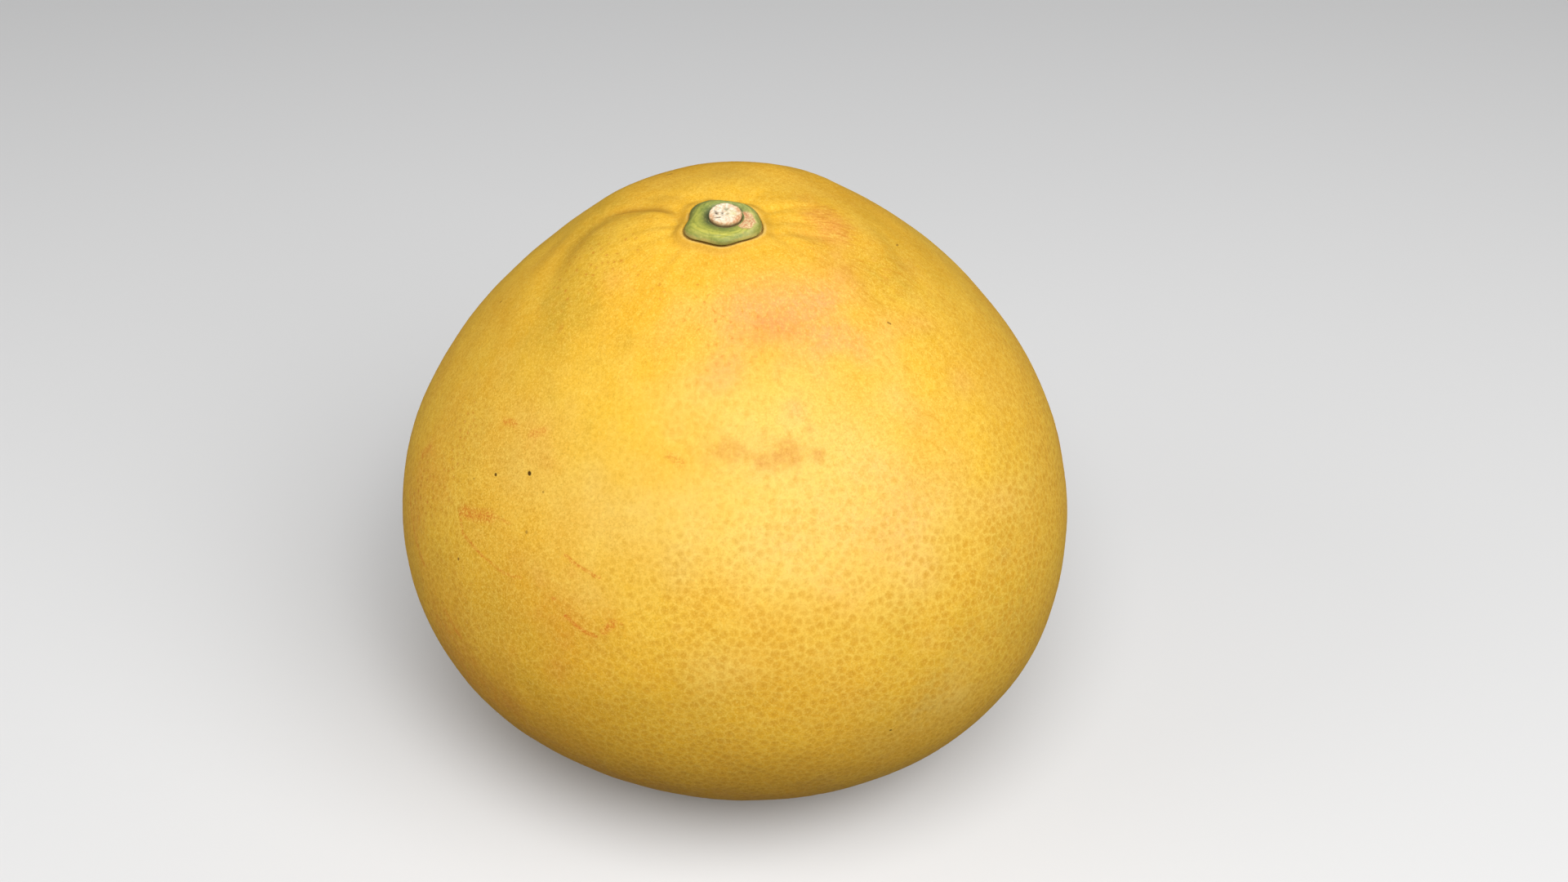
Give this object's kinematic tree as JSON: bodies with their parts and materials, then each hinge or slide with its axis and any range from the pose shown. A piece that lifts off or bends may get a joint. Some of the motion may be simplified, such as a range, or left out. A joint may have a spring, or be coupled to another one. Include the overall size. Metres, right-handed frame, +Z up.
{
  "type": "pomelo",
  "caption": "Whole ripe pomelo as picked, standing on a small flat spot, with its green calyx and the cut end of its stalk.",
  "frame": {"origin": "middle of the small flat spot that the fruit rests on, on the ground", "axes": "+Z up; the stalk end leans about 6 degrees towards -Y, which is the side that faces the viewer; +X to the viewer's right"},
  "size_m": [0.1499, 0.1496, 0.1387],
  "materials": {
    "peel": "waxy golden-yellow peel with darker oil-gland dots",
    "calyx": "fleshy yellow-green, satin, with a grey-green groove",
    "cut_stalk": "dry cream cut face with small dark pits"
  },
  "bodies": {
    "root": {"fruit": "peel", "calyx": "calyx", "stem_stub": "cut_stalk"}
  },
  "joints": []
}
